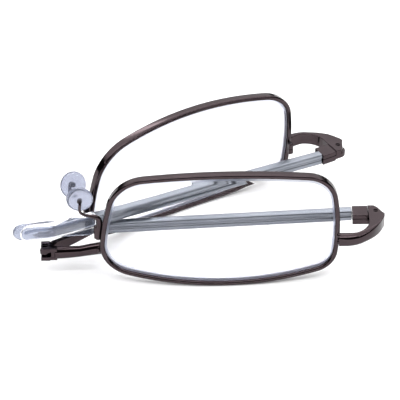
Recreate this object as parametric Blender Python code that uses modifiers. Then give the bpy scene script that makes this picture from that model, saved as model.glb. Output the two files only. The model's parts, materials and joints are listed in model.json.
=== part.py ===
"""Folding reading glasses: a frame that folds at the bridge, with telescoping temples.

The glasses stand upside down on their brow rims, part folded at the bridge, with both temples folded
behind the lenses. Millimetres are used for the dimensions below and turned into metres on the mesh.

Each half is described in its own axes, with the bridge pin at zero:
  u  outwards from the bridge pin, along the lens chord
  v  up, as the folded glasses stand (towards the cheek when they are worn)
  n  forwards, out of the front of the lens
"""

import math

import bmesh
import bpy
from mathutils import Matrix, Vector

MM = 0.001

# Where the bridge pin stands, and how far the left half is turned from the right one about it
PIN_X = -31.09
PIN_Y = -14.07
BROW_TO_AXIS = 11.86
FOLD_DEG = 29.2

# Lens outline: four corners (u, v) on the eyewire's centreline, brow side first, nasal side first
LENS_CORNERS = ((11.4, -8.5), (57.7, -9.1), (57.3, 10.8), (14.6, 10.8))
EDGE_BOWS = (2.55, 1.15, 2.6, 0.87)
CORNER_LENGTHS = (5.4, 3.0, 4.5, 5.3)
CORNER_WEIGHT = 0.8
EDGE_STEPS = 9
CORNER_STEPS = 6

# The lens surface: base curve, its most forward point, and the lean of the lens (pantoscopic tilt)
BASE_CURVE_R = 95.7
LENS_FRONT_N = 4.63
LENS_MIDDLE = (35.2, 1.0)
LENS_LEAN = -0.081

EYEWIRE_WIDTH = 1.0
EYEWIRE_DEPTH = 1.85
GROOVE_DEPTH = 0.35
GROOVE_WIDTH = 0.8
LENS_THICKNESS = 1.5
LENS_GAP = 0.08
BEVEL_WIDTH = 0.6
SOLDER_GAP = 0.06

# End piece: a blade seen from above, from the eyewire round to the temple pin
END_TOP_V = -1.45
END_HEIGHT = 2.55
END_EDGE = 0.55
END_START_U = 59.25
END_OUTER_POINTS = ((61.1, 4.07), (63.2, 3.5), (64.9, 2.3), (66.3, 0.9), (67.6, -1.0), (68.55, -3.1))
END_CORNER_POINTS = ((68.65, -3.9), (68.0, -4.8), (67.25, -6.1), (66.5, -6.75), (65.3, -6.75))
END_INNER_POINTS = ((65.3, -1.5), (65.05, -0.2), (64.2, 1.2), (63.1, 2.1), (62.0, 2.45))
END_FRONT_N = (2.4, 4.0)
TEMPLE_PIN = (66.85, -4.9)
LUG_RADIUS = 1.55
LAP_GAP = 0.08
PIN_RADIUS = 0.45
PIN_CLEARANCE = 0.05
PIN_HEAD_RADIUS = 0.85
TEMPLE_HEAD_RADIUS = 0.6
PIN_HEAD_HEIGHT = 0.35

# Hinge block at the root of the temple
BLOCK_INNER_U = 62.1
BLOCK_OUTER_U = 65.2
BLOCK_FRONT_N = -3.4
BLOCK_BACK_N = -6.75
BLOCK_TOP_V = -1.55
BLOCK_HEIGHT = 2.3

# Temples: a bar fixed in the block, a sleeve that slides on it, and a tip on the sleeve
TEMPLE_ROOT_U = 61.95
TEMPLE_ROOT_N = -5.6
TEMPLE_ROOT_V = {"right": -2.65, "left": -2.55}
TEMPLE_IN_DEG = 2.35
TEMPLE_TILT_DEG = {"right": -0.6, "left": 2.85}
BAR_LENGTH = 46.0
BAR_SIZE = (0.95, 1.65)
STOP_LENGTH = 1.6
STOP_SIZE = (1.05, 1.75)
SLEEVE_START = 0.2
SLEEVE_LENGTH = 61.0
SLEEVE_SIZE = (1.8, 2.5)
SLEEVE_WALL = 0.3
SLEEVE_GROOVE = 0.18
TIP_START = 52.5
TIP_END = 68.5
TIP_SHELL = 0.27
TIP_PADDLE = (2.2, 3.35)
TIP_LIFT = (0.8, -0.15)

# Bridge: one arm from each eyewire, meeting in a three-knuckle hinge
KNUCKLE_RADIUS = 1.74
KNUCKLE_FLAT_U = -0.8
KNUCKLE_FLAT_N = (-1.5, 1.45)
BRIDGE_NECK_N = (0.1, 1.35)
BRIDGE_BOTTOM_V = -7.9
BRIDGE_HEIGHT = 2.85
KNUCKLE_HEIGHT = 0.89
BRIDGE_ARM_N = ((0.05, 1.45), (0.1, 1.5), (0.2, 1.6))
BRIDGE_ARM_U = (1.88, 7.0, 10.9)
BRIDGE_ARM_BOTTOM_V = (-7.95, -7.45, -6.85)
BRIDGE_ARM_TOP_V = (-5.15, -5.02, -4.15)

# Nose pads: a wire arm with a flat foot on the eyewire, and a round pad that rocks on a small mount
PAD_ARM_RADIUS = 0.3
PAD_ARM_POINTS = (
    (10.55, 0.2, 1.75),
    (10.35, 1.9, 1.95),
    (9.7, 2.95, 2.0),
    (8.7, 3.5, 2.0),
    (7.75, 3.95, 2.0),
    (7.2, 4.9, 2.05),
    (7.3, 6.2, 2.1),
)
PAD_FOOT = ((9.95, 10.9), (-2.3, 0.8), (1.15, 2.1))
PAD_MIDDLE = (7.25, 6.75, 0.75)
PAD_SIZE = (5.4, 5.7, 1.7)
PAD_TURN_DEG = {"right": (0, 0), "left": (-20, -12)}
PAD_POCKET_RADIUS = 0.62
MOUNT_RADIUS = 0.5
MOUNT_LENGTH = 0.75

# Rim lock: the split block that closes the eyewire round the lens, and its screw
LOCK_U = (57.85, 58.85)
LOCK_V = (-3.6, -1.1)
LOCK_N = (-0.35, 0.9)
LOCK_SCREW_RADIUS = 0.25
LOCK_HEAD_RADIUS = 0.38

ROUND_STEPS = 16
SIDES = {"right": 1.0, "left": -1.0}

GUNMETAL = (0.10, 0.075, 0.08, 1.0)
DARK_STEEL = (0.05, 0.045, 0.05, 1.0)
SATIN_SILVER = (0.45, 0.48, 0.55, 1.0)
CLEAR_PLASTIC = (0.75, 0.77, 0.9, 1.0)
LENS_CLEAR = (0.9, 0.92, 1.0, 1.0)


def clear_scene():
    for old in list(bpy.data.objects):
        bpy.data.objects.remove(old, do_unlink=True)


def new_collection(name):
    made = bpy.data.collections.new(name)
    bpy.context.scene.collection.children.link(made)
    return made


clear_scene()
PARTS = new_collection("folding_reading_glasses")
CUTTERS = new_collection("cutters")


def material(name, colour, roughness, metallic):
    made = bpy.data.materials.new(name)
    made.use_nodes = True
    shader = made.node_tree.nodes["Principled BSDF"]
    shader.inputs["Base Color"].default_value = colour
    shader.inputs["Roughness"].default_value = roughness
    shader.inputs["Metallic"].default_value = metallic
    made.diffuse_color = colour
    return made


# ---------------------------------------------------------------- building helpers


def upright(side):
    """Turns a shape drawn with x = u, y = v, z = n into the half's own standing axes."""
    s = SIDES[side]
    return Matrix(((1, 0, 0, 0), (0, 0, -s, 0), (0, 1, 0, 0), (0, 0, 0, 1)))


def at(u, v, n, side):
    """A point of a half, in metres, in the axes of that half's empty."""
    return Vector((u * MM, -n * SIDES[side] * MM, v * MM))


def add_mesh(name, mesh, parent=None, collection=None):
    made = bpy.data.objects.new(name, mesh)
    (collection or PARTS).objects.link(made)
    made.parent = parent
    return made


def add_empty(name, location, rotation, parent=None):
    made = bpy.data.objects.new(name, None)
    made.empty_display_size = 3 * MM
    PARTS.objects.link(made)
    made.parent = parent
    made.location = location
    made.rotation_euler = rotation
    return made


def mesh_from_bmesh(name, bm):
    bmesh.ops.recalc_face_normals(bm, faces=bm.faces)
    mesh = bpy.data.meshes.new(name)
    bm.to_mesh(mesh)
    bm.free()
    return mesh


def finish(obj, look, smooth_deg=35.0):
    obj.data.materials.clear()
    obj.data.materials.append(look)
    obj.data.shade_smooth()
    obj.data.set_sharp_from_angle(angle=math.radians(smooth_deg))
    return obj


def box_mesh(name, low, high):
    """A box between two corners given in millimetres."""
    bm = bmesh.new()
    bmesh.ops.create_cube(bm, size=1.0)
    size = Vector(high) - Vector(low)
    middle = (Vector(high) + Vector(low)) / 2
    bmesh.ops.scale(bm, vec=Vector([abs(x) for x in size]) * MM, verts=bm.verts)
    bmesh.ops.translate(bm, vec=middle * MM, verts=bm.verts)
    return mesh_from_bmesh(name, bm)


def cylinder_mesh(name, radius, low, high, middle=(0.0, 0.0), steps=ROUND_STEPS):
    """An upright cylinder, in millimetres, from z = low to z = high."""
    bm = bmesh.new()
    bmesh.ops.create_cone(
        bm,
        cap_ends=True,
        segments=steps,
        radius1=radius * MM,
        radius2=radius * MM,
        depth=(high - low) * MM,
    )
    middle_z = (low + high) / 2
    bmesh.ops.translate(
        bm, vec=Vector((middle[0], middle[1], middle_z)) * MM, verts=bm.verts
    )
    return mesh_from_bmesh(name, bm)


def boolean(obj, mesh, operation):
    """Cuts obj by a mesh, or joins them, and keeps the result as obj's own mesh."""
    other = add_mesh(f"{obj.name}_tool", mesh, obj.parent, CUTTERS)
    other.hide_render = True
    other.display_type = "WIRE"
    modifier = obj.modifiers.new(operation.lower(), "BOOLEAN")
    modifier.operation = operation
    modifier.solver = "EXACT"
    modifier.object = other
    bpy.context.view_layer.update()
    graph = bpy.context.evaluated_depsgraph_get()
    result = bpy.data.meshes.new_from_object(obj.evaluated_get(graph))
    obj.modifiers.clear()
    obj.data = result
    bpy.data.objects.remove(other, do_unlink=True)
    return obj


def bevel(obj, width, segments=2, angle_deg=40.0):
    modifier = obj.modifiers.new("rounded_edges", "BEVEL")
    modifier.width = width * MM
    modifier.segments = segments
    modifier.limit_method = "ANGLE"
    modifier.angle_limit = math.radians(angle_deg)
    bpy.context.view_layer.update()
    graph = bpy.context.evaluated_depsgraph_get()
    result = bpy.data.meshes.new_from_object(obj.evaluated_get(graph))
    obj.modifiers.clear()
    obj.data = result
    return obj


def plate_mesh(name, outline, low, high, flip=1.0):
    """An upright plate: an outline of (u, n) points, from v = low to v = high."""
    curve = bpy.data.curves.new(name, "CURVE")
    curve.dimensions = "2D"
    curve.fill_mode = "BOTH"
    curve.extrude = (high - low) / 2 * MM
    spline = curve.splines.new("POLY")
    spline.points.add(len(outline) - 1)
    for point, (u, n) in zip(spline.points, outline, strict=True):
        point.co = (u * MM, -n * flip * MM, 0.0, 1.0)
    spline.use_cyclic_u = True
    holder = add_mesh(f"{name}_outline", curve, None, CUTTERS)
    bpy.context.view_layer.update()
    graph = bpy.context.evaluated_depsgraph_get()
    mesh = bpy.data.meshes.new_from_object(holder.evaluated_get(graph))
    bpy.data.objects.remove(holder, do_unlink=True)
    bm = bmesh.new()
    bm.from_mesh(mesh)
    bmesh.ops.remove_doubles(bm, verts=bm.verts, dist=1e-7)
    bmesh.ops.translate(bm, vec=(0, 0, (low + high) / 2 * MM), verts=bm.verts)
    return mesh_from_bmesh(name, bm)


def arc(middle, radius, start_deg, end_deg, steps):
    """Points of an arc in the (u, n) plane."""
    points = []
    for i in range(steps + 1):
        a = math.radians(start_deg + (end_deg - start_deg) * i / steps)
        points.append(
            (middle[0] + radius * math.cos(a), middle[1] + radius * math.sin(a))
        )
    return points


def loft(name, rings):
    """Joins closed rings of points into one body, with a flat cap at each end."""
    bm = bmesh.new()
    loops = []
    for ring in rings:
        verts = [bm.verts.new(Vector(p) * MM) for p in ring]
        loops.append(
            [bm.edges.new((a, b)) for a, b in zip(verts, verts[1:] + verts[:1], strict=True)]
        )
    for one, other in zip(loops, loops[1:], strict=False):
        bmesh.ops.bridge_loops(bm, edges=one + other)
    for end in (loops[0], loops[-1]):
        bmesh.ops.contextual_create(bm, geom=end)
    return mesh_from_bmesh(name, bm)


def turned_mesh(name, profile, steps=ROUND_STEPS):
    """Turns a profile of (radius, height) points, top to bottom, about the z axis."""
    bm = bmesh.new()
    verts = [bm.verts.new((r * MM, 0.0, h * MM)) for r, h in profile]
    edges = [bm.edges.new(pair) for pair in zip(verts, verts[1:], strict=False)]
    bmesh.ops.spin(
        bm,
        geom=verts + edges,
        cent=(0, 0, 0),
        axis=(0, 0, 1),
        angle=2 * math.pi,
        steps=steps,
        use_merge=True,
    )
    bmesh.ops.remove_doubles(bm, verts=bm.verts, dist=1e-7)
    return mesh_from_bmesh(name, bm)


# ---------------------------------------------------------------- lens and eyewire


def bowed_point(corner, following, bow, along):
    """A point on an edge that bows outwards, at a distance from its first corner."""
    a, b = Vector(corner), Vector(following)
    chord = b - a
    length = chord.length
    share = along / length
    outwards = Vector((chord.y, -chord.x)) / length
    return a + chord * share + outwards * bow * 4 * share * (1 - share)


def lens_outline():
    """The eyewire's centreline as (u, v) points: four bowed edges joined by blended corners."""
    count = len(LENS_CORNERS)
    points = []
    for k in range(count):
        corner, following = LENS_CORNERS[k], LENS_CORNERS[(k + 1) % count]
        after = LENS_CORNERS[(k + 2) % count]
        length = (Vector(following) - Vector(corner)).length
        begin, end = CORNER_LENGTHS[k], length - CORNER_LENGTHS[(k + 1) % count]
        for i in range(EDGE_STEPS):
            along = begin + (end - begin) * i / (EDGE_STEPS - 1)
            points.append(bowed_point(corner, following, EDGE_BOWS[k], along))
        next_bow = EDGE_BOWS[(k + 1) % count]
        start = points[-1]
        leaving = start - bowed_point(corner, following, EDGE_BOWS[k], end - 0.01)
        stop = bowed_point(following, after, next_bow, CORNER_LENGTHS[(k + 1) % count])
        arriving = (
            bowed_point(following, after, next_bow, CORNER_LENGTHS[(k + 1) % count] + 0.01)
            - stop
        )
        cross = leaving.x * arriving.y - leaving.y * arriving.x
        gap = stop - start
        reach = (gap.x * arriving.y - gap.y * arriving.x) / cross
        tip = start + leaving * reach
        for i in range(1, CORNER_STEPS):
            t = i / CORNER_STEPS
            weights = ((1 - t) ** 2, 2 * t * (1 - t) * CORNER_WEIGHT, t * t)
            total = sum(weights)
            points.append(
                (start * weights[0] + tip * weights[1] + stop * weights[2]) / total
            )
    return points


def surface_n(u, v):
    """How far forward the middle of the lens lies at (u, v)."""
    du, dv = u - LENS_MIDDLE[0], v - LENS_MIDDLE[1]
    return LENS_FRONT_N - (du * du + dv * dv) / (2 * BASE_CURVE_R) + dv * LENS_LEAN


def inwards(outline):
    """The unit direction towards the lens at each outline point."""
    count = len(outline)
    made = []
    for i in range(count):
        along = (outline[(i + 1) % count] - outline[i - 1]).normalized()
        made.append(Vector((-along.y, along.x)))
    return made


OUTLINE = lens_outline()
INWARDS = inwards(OUTLINE)


def ring_points(offset, depth):
    """The outline moved inwards by offset, lying depth in front of the lens's middle surface."""
    made = []
    for p, d in zip(OUTLINE, INWARDS, strict=True):
        q = p + d * offset
        made.append((q.x, q.y, surface_n(p.x, p.y) + depth))
    return made


def build_eyewire(side, parent, look):
    """A C-section wire, its groove towards the lens, swept once round the outline."""
    half_w, half_d = EYEWIRE_WIDTH / 2, EYEWIRE_DEPTH / 2
    soft = 0.22
    section = (
        (half_w, half_d - 0.05),
        (half_w - 0.1, half_d),
        (-half_w + soft, half_d),
        (-half_w, half_d - soft),
        (-half_w, -half_d + soft),
        (-half_w + soft, -half_d),
        (half_w - 0.1, -half_d),
        (half_w, -half_d + 0.05),
        (half_w, -GROOVE_WIDTH / 2),
        (half_w - GROOVE_DEPTH, 0.0),
        (half_w, GROOVE_WIDTH / 2),
    )
    bm = bmesh.new()
    loops = []
    for offset, depth in section:
        verts = [bm.verts.new(Vector(p) * MM) for p in ring_points(offset, depth)]
        loops.append(
            [bm.edges.new((a, b)) for a, b in zip(verts, verts[1:] + verts[:1], strict=True)]
        )
    for i in range(len(loops)):
        bmesh.ops.bridge_loops(bm, edges=loops[i - 1] + loops[i])
    bmesh.ops.transform(bm, matrix=upright(side), verts=bm.verts)
    mesh = mesh_from_bmesh(f"{side}_eyewire", bm)
    return finish(add_mesh(f"{side}_eyewire", mesh, parent), look)


def build_lens(side, parent, look):
    """A meniscus lens whose bevelled edge sits in the eyewire's groove."""
    half_w, half_t = EYEWIRE_WIDTH / 2, LENS_THICKNESS / 2
    edge = half_w + LENS_GAP
    bevel_tip = half_w - GROOVE_DEPTH + LENS_GAP * 1.6
    middle = Vector(LENS_MIDDLE)

    def inner_ring(share, depth):
        made = []
        for p, d in zip(OUTLINE, INWARDS, strict=True):
            q = middle + (p + d * edge - middle) * share
            made.append((q.x, q.y, surface_n(q.x, q.y) + depth))
        return made

    front = [inner_ring(share, half_t) for share in (0.35, 0.7)]
    back = [inner_ring(share, -half_t) for share in (0.7, 0.35)]
    rim = [
        ring_points(edge, half_t * 0.8),
        ring_points(edge, BEVEL_WIDTH / 2),
        ring_points(bevel_tip, 0.0),
        ring_points(edge, -BEVEL_WIDTH / 2),
        ring_points(edge, -half_t * 0.8),
    ]
    mesh = loft(f"{side}_lens", front + rim + back)
    bm = bmesh.new()
    bm.from_mesh(mesh)
    caps = [f for f in bm.faces if len(f.verts) > 4]
    poked = bmesh.ops.poke(bm, faces=caps)
    for vert in poked["verts"]:
        facing = half_t if vert.co.z > surface_n(*LENS_MIDDLE) * MM else -half_t
        vert.co = Vector((*LENS_MIDDLE, surface_n(*LENS_MIDDLE) + facing)) * MM
    bmesh.ops.transform(bm, matrix=upright(side), verts=bm.verts)
    mesh = mesh_from_bmesh(f"{side}_lens", bm)
    return finish(add_mesh(f"{side}_lens", mesh, parent), look)


# ---------------------------------------------------------------- screws and the rim lock


def build_screw(name, place, head_radius, radius, length, look, parent, up=True):
    """A slotted screw, head end at the top unless up is False, its axis on the parent's z."""
    profile = [
        (0.0, 0.0),
        (head_radius * 0.85, 0.0),
        (head_radius, -0.08),
        (head_radius, -PIN_HEAD_HEIGHT),
        (radius, -PIN_HEAD_HEIGHT),
        (radius, -length + 0.1),
        (radius - 0.1, -length),
        (0.0, -length),
    ]
    screw = add_mesh(name, turned_mesh(name, profile), parent)
    slot = box_mesh(
        f"{name}_slot",
        (-head_radius * 1.2, -0.09, -0.16),
        (head_radius * 1.2, 0.09, 0.2),
    )
    boolean(screw, slot, "DIFFERENCE")
    screw.location = place
    if not up:
        screw.rotation_euler = (math.pi, 0, 0)
    return finish(screw, look)


def build_rim_lock(side, parent, metal, dark):
    """A small block behind the eyewire's temple side, with the screw that closes the rim."""
    s = SIDES[side]
    low = (LOCK_U[0], -LOCK_N[1] * s, LOCK_V[0])
    high = (LOCK_U[1], -LOCK_N[0] * s, LOCK_V[1])
    lock = add_mesh(f"{side}_rim_lock", box_mesh(f"{side}_rim_lock", low, high), parent)
    middle = ((LOCK_U[0] + LOCK_U[1]) / 2, -(LOCK_N[0] + LOCK_N[1]) / 2 * s)
    hole = LOCK_SCREW_RADIUS + PIN_CLEARANCE
    seat = LOCK_HEAD_RADIUS + PIN_CLEARANCE
    split_v = (LOCK_V[0] + LOCK_V[1]) / 2
    bevel(lock, 0.2, 2)
    groove = box_mesh(
        f"{side}_lock_split",
        (LOCK_U[0] - 1, -(LOCK_N[1] - 0.45) * s, split_v - 0.07),
        (LOCK_U[1] + 1, -(LOCK_N[0] - 1) * s, split_v + 0.07),
    )
    boolean(lock, groove, "DIFFERENCE")
    boolean(
        lock,
        cylinder_mesh("hole", hole, LOCK_V[0] - 1, LOCK_V[1] + 1, middle),
        "DIFFERENCE",
    )
    boolean(
        lock,
        cylinder_mesh(
            "seat", seat, LOCK_V[1] - PIN_HEAD_HEIGHT - PIN_CLEARANCE, LOCK_V[1] + 1, middle
        ),
        "DIFFERENCE",
    )
    finish(lock, metal)
    place = Vector((middle[0], middle[1], LOCK_V[1])) * MM
    length = LOCK_V[1] - LOCK_V[0] - 0.1
    build_screw(
        f"{side}_rim_screw", place, LOCK_HEAD_RADIUS, LOCK_SCREW_RADIUS, length, dark, parent
    )


# ---------------------------------------------------------------- end piece and temple hinge


def smooth_points(points, steps=4):
    """A smooth line through the given points, both ends included."""
    line = [Vector(p) for p in points]
    ends = [line[0] * 2 - line[1], *line, line[-1] * 2 - line[-2]]
    made = []
    for a, b, c, d in zip(ends, ends[1:], ends[2:], ends[3:], strict=False):
        for i in range(steps):
            t = i / steps
            bend = (a * 2 - b * 5 + c * 4 - d) * t * t + (b * 3 - a - c * 3 + d) * t**3
            made.append((b * 2 + (c - a) * t + bend) / 2)
    return [tuple(p) for p in [*made, line[-1]]]


def end_piece_outline():
    """The blade seen from above, from the eyewire round its outer corner to the temple pin."""
    back_n, front_n = END_FRONT_N
    outer = smooth_points([(END_START_U, front_n), *END_OUTER_POINTS])
    inner = smooth_points([*END_INNER_POINTS, (END_START_U, back_n)], 3)
    return [*outer, *END_CORNER_POINTS, *inner]


def build_end_piece(side, parent, look):
    """The blade, cut to half its height round the pin, where the hinge block's lug lies under it."""
    s = SIDES[side]
    name = f"{side}_end_piece"
    bottom_v = END_TOP_V - END_HEIGHT
    mesh = plate_mesh(name, end_piece_outline(), bottom_v, END_TOP_V, s)
    blade = add_mesh(name, mesh, parent)
    pin = (TEMPLE_PIN[0], -TEMPLE_PIN[1] * s)
    lap_v = BLOCK_TOP_V - BLOCK_HEIGHT / 2 + LAP_GAP / 2
    bevel(blade, END_EDGE, 3, 60)
    room = LUG_RADIUS + 0.12
    relief = cylinder_mesh("lap", room, bottom_v - 1, lap_v, pin, 24)
    boolean(blade, relief, "DIFFERENCE")
    behind = box_mesh(
        "lap_back",
        (pin[0] - 3, -(BLOCK_BACK_N - 2) * s, bottom_v - 1),
        (pin[0] + 4, -(TEMPLE_PIN[1]) * s, lap_v),
    )
    boolean(blade, behind, "DIFFERENCE")
    beside = box_mesh(
        "lap_side",
        (pin[0] - 3, -(BLOCK_BACK_N - 2) * s, bottom_v - 1),
        (pin[0], -(TEMPLE_PIN[1] + room) * s, lap_v),
    )
    boolean(blade, beside, "DIFFERENCE")
    hole = PIN_RADIUS + PIN_CLEARANCE
    boolean(blade, cylinder_mesh("hole", hole, bottom_v - 1, 1, pin), "DIFFERENCE")
    seat_low = END_TOP_V - PIN_HEAD_HEIGHT - PIN_CLEARANCE
    seat = cylinder_mesh("seat", TEMPLE_HEAD_RADIUS + PIN_CLEARANCE, seat_low, 1, pin)
    boolean(blade, seat, "DIFFERENCE")
    return finish(blade, look)


def build_hinge_block(side, parent, look):
    """The block at the temple's root, with the lug that turns on the pin under the end piece.

    The parent empty stands on the pin, so the shapes are measured from there.
    """
    s = SIDES[side]
    name = f"{side}_hinge_block"
    pin_u, pin_n = TEMPLE_PIN
    bottom_v = BLOCK_TOP_V - BLOCK_HEIGHT
    lap_v = BLOCK_TOP_V - BLOCK_HEIGHT / 2 - LAP_GAP / 2
    low = (BLOCK_INNER_U - pin_u, -(BLOCK_FRONT_N - pin_n) * s, bottom_v)
    high = (BLOCK_OUTER_U - pin_u, -(BLOCK_BACK_N - pin_n) * s, BLOCK_TOP_V)
    block = add_mesh(name, box_mesh(name, low, high), parent)
    bevel(block, 0.18, 2)
    outline = [(BLOCK_OUTER_U - pin_u - 0.6, LUG_RADIUS), *arc((0, 0), LUG_RADIUS, 90, -90, 12)]
    outline += [(BLOCK_OUTER_U - pin_u - 0.6, -LUG_RADIUS)]
    lug = plate_mesh("lug", outline, bottom_v, lap_v, s)
    boolean(block, lug, "UNION")
    hole = PIN_RADIUS + PIN_CLEARANCE
    boolean(block, cylinder_mesh("hole", hole, bottom_v - 1, lap_v + 1), "DIFFERENCE")
    return finish(block, look)


# ---------------------------------------------------------------- temple bar, sleeve and tip


def rounded_section(thickness, height, corner, groove=0.0):
    """A rounded upright section of (side, up) points, with a shallow groove on each side."""
    half_t, half_h = thickness / 2, height / 2
    points = []
    for cx, cy, start in (
        (half_t - corner, -half_h + corner, -90),
        (half_t - corner, half_h - corner, 0),
        (-half_t + corner, half_h - corner, 90),
        (-half_t + corner, -half_h + corner, 180),
    ):
        points += arc((cx, cy), corner, start, start + 90, 3)
    if groove:
        right = [(half_t, -0.3), (half_t - groove, -0.1), (half_t - groove, 0.1), (half_t, 0.3)]
        left = [(-x, -y) for x, y in right]
        points = points[:4] + right + points[4:12] + left + points[12:]
    return points


def bar_mesh(name, section, start, end):
    """A straight bar along -x, its section given as (side, up) points."""
    rings = [[(-along, y, z) for y, z in section] for along in (start, end)]
    return loft(name, rings)


def build_bar(side, parent, look, dark):
    name = f"{side}_inner_bar"
    section = rounded_section(*BAR_SIZE, 0.2)
    bar = add_mesh(name, bar_mesh(name, section, 0.0, BAR_LENGTH), parent)
    finish(bar, look)
    name = f"{side}_bar_stop"
    section = rounded_section(*STOP_SIZE, 0.2)
    start = BAR_LENGTH + SOLDER_GAP
    stop = add_mesh(name, bar_mesh(name, section, start, start + STOP_LENGTH), parent)
    finish(stop, dark)


def build_sleeve(side, parent, look):
    """The outer tube of the telescoping temple, grooved along both faces."""
    name = f"{side}_sleeve"
    thickness, height = SLEEVE_SIZE
    outer = rounded_section(thickness, height, 0.45, SLEEVE_GROOVE)
    sleeve = add_mesh(
        name, bar_mesh(name, outer, SLEEVE_START, SLEEVE_START + SLEEVE_LENGTH), parent
    )
    inner = rounded_section(thickness - 2 * SLEEVE_WALL - 0.1, height - 2 * SLEEVE_WALL, 0.2)
    bore = bar_mesh(
        "bore", inner, SLEEVE_START - 1, SLEEVE_START + SLEEVE_LENGTH + 1
    )
    boolean(sleeve, bore, "DIFFERENCE")
    return finish(sleeve, look)


def paddle_ring(along, thickness, height, inward, down, side, squareness=0.5):
    """One rounded ring of the tip, moved towards the lens and downwards as the tip bends."""
    points = []
    steps = 16
    for i in range(steps):
        a = 2 * math.pi * (i + 0.5) / steps
        c, d = math.cos(a), math.sin(a)
        y = math.copysign(abs(c) ** squareness, c) * thickness / 2
        z = math.copysign(abs(d) ** squareness, d) * height / 2
        points.append((-along, y - inward * SIDES[side], z + down))
    return points


def build_tip(side, parent, look):
    """A clear moulded tip: a sheath over the sleeve's end that widens into a round paddle."""
    name = f"{side}_temple_tip"
    sheath_t = SLEEVE_SIZE[0] + 2 * TIP_SHELL
    sheath_h = SLEEVE_SIZE[1] + 2 * TIP_SHELL
    paddle_t, paddle_h = TIP_PADDLE
    sleeve_end = SLEEVE_START + SLEEVE_LENGTH
    stations = (
        (TIP_START, sheath_t, sheath_h, 0.0, 0.45),
        (sleeve_end + 0.4, sheath_t, sheath_h + 0.15, 0.0, 0.5),
        (sleeve_end + 2.0, paddle_t, paddle_h * 0.93, 0.35, 0.65),
        (TIP_END - 2.4, paddle_t, paddle_h, 0.75, 0.8),
        (TIP_END - 1.1, paddle_t * 0.95, paddle_h * 0.88, 1.0, 0.95),
        (TIP_END - 0.35, paddle_t * 0.75, paddle_h * 0.6, 1.0, 1.0),
        (TIP_END, paddle_t * 0.4, paddle_h * 0.3, 1.0, 1.0),
    )
    rings = []
    for along, thick, high, share, squareness in stations:
        rings.append(
            paddle_ring(
                along, thick, high, TIP_LIFT[0] * share, -TIP_LIFT[1] * share, side, squareness
            )
        )
    tip = add_mesh(name, loft(name, rings), parent)
    gap = 0.06
    socket = rounded_section(SLEEVE_SIZE[0] + 2 * gap, SLEEVE_SIZE[1] + 2 * gap, 0.45)
    cutter = bar_mesh("socket", socket, TIP_START - 1, sleeve_end + gap)
    boolean(tip, cutter, "DIFFERENCE")
    return finish(tip, look)


# ---------------------------------------------------------------- bridge


def build_bridge_arm(side, parent, look):
    """The flat arm from the eyewire to the bridge pin, with its knuckles: two on the right, one left."""
    s = SIDES[side]
    name = f"{side}_bridge_arm"
    rings = []
    for u, ns, low, high in zip(
        BRIDGE_ARM_U, BRIDGE_ARM_N, BRIDGE_ARM_BOTTOM_V, BRIDGE_ARM_TOP_V, strict=True
    ):
        back, front = -ns[0] * s, -ns[1] * s
        rings.append([(u, back, low), (u, front, low), (u, front, high), (u, back, high)])
    arm = add_mesh(name, loft(name, rings), parent)
    bottom = BRIDGE_BOTTOM_V
    top = bottom + BRIDGE_HEIGHT
    middle_low = bottom + (BRIDGE_HEIGHT - KNUCKLE_HEIGHT) / 2
    middle_high = middle_low + KNUCKLE_HEIGHT
    if side == "right":
        levels = ((bottom, middle_low - LAP_GAP), (middle_high + LAP_GAP, top))
    else:
        levels = ((middle_low, middle_high),)
    neck_back, neck_front = (-n * s for n in BRIDGE_NECK_N)
    back_n, front_n = KNUCKLE_FLAT_N
    outline = [(KNUCKLE_FLAT_U, back_n), *arc((0, 0), KNUCKLE_RADIUS, -62, 60, 10)]
    outline += [(KNUCKLE_FLAT_U, front_n)]
    for low, high in levels:
        knuckle = add_mesh("knuckle", plate_mesh("knuckle", outline, low, high, s), parent, CUTTERS)
        bevel(knuckle, 0.2, 2, 60)
        mesh = knuckle.data.copy()
        bpy.data.objects.remove(knuckle, do_unlink=True)
        boolean(arm, mesh, "UNION")
        corner = (0.7, neck_back, low + 0.02)
        opposite = (BRIDGE_ARM_U[0] + 0.4, neck_front, high - 0.02)
        boolean(arm, box_mesh("neck", corner, opposite), "UNION")
    hole = cylinder_mesh("hole", PIN_RADIUS + PIN_CLEARANCE, bottom - 1, top + 1)
    boolean(arm, hole, "DIFFERENCE")
    if side == "right":
        seat_low = top - PIN_HEAD_HEIGHT - PIN_CLEARANCE
        seat = cylinder_mesh("seat", PIN_HEAD_RADIUS + PIN_CLEARANCE, seat_low, top + 1)
        boolean(arm, seat, "DIFFERENCE")
    return finish(arm, look)


# ---------------------------------------------------------------- nose pads


def build_pad_arm(side, parent, look):
    """A bent wire from a flat foot on the eyewire to the middle of the pad."""
    name = f"{side}_pad_arm"
    curve = bpy.data.curves.new(name, "CURVE")
    curve.dimensions = "3D"
    curve.bevel_depth = PAD_ARM_RADIUS * MM
    curve.bevel_resolution = 2
    curve.use_fill_caps = True
    spline = curve.splines.new("POLY")
    spline.points.add(len(PAD_ARM_POINTS) - 1)
    for point, place in zip(spline.points, PAD_ARM_POINTS, strict=True):
        point.co = (*at(*place, side), 1.0)
    holder = add_mesh(f"{name}_line", curve, None, CUTTERS)
    bpy.context.view_layer.update()
    graph = bpy.context.evaluated_depsgraph_get()
    mesh = bpy.data.meshes.new_from_object(holder.evaluated_get(graph))
    bpy.data.objects.remove(holder, do_unlink=True)
    bm = bmesh.new()
    bm.from_mesh(mesh)
    bmesh.ops.remove_doubles(bm, verts=bm.verts, dist=1e-7)
    arm = add_mesh(name, mesh_from_bmesh(name, bm), parent)
    (u0, u1), (v0, v1), (n0, n1) = PAD_FOOT
    s = SIDES[side]
    foot = box_mesh("foot", (u0, -n1 * s, v0), (u1, -n0 * s, v1))
    boolean(arm, foot, "UNION")
    return finish(arm, look)


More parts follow.
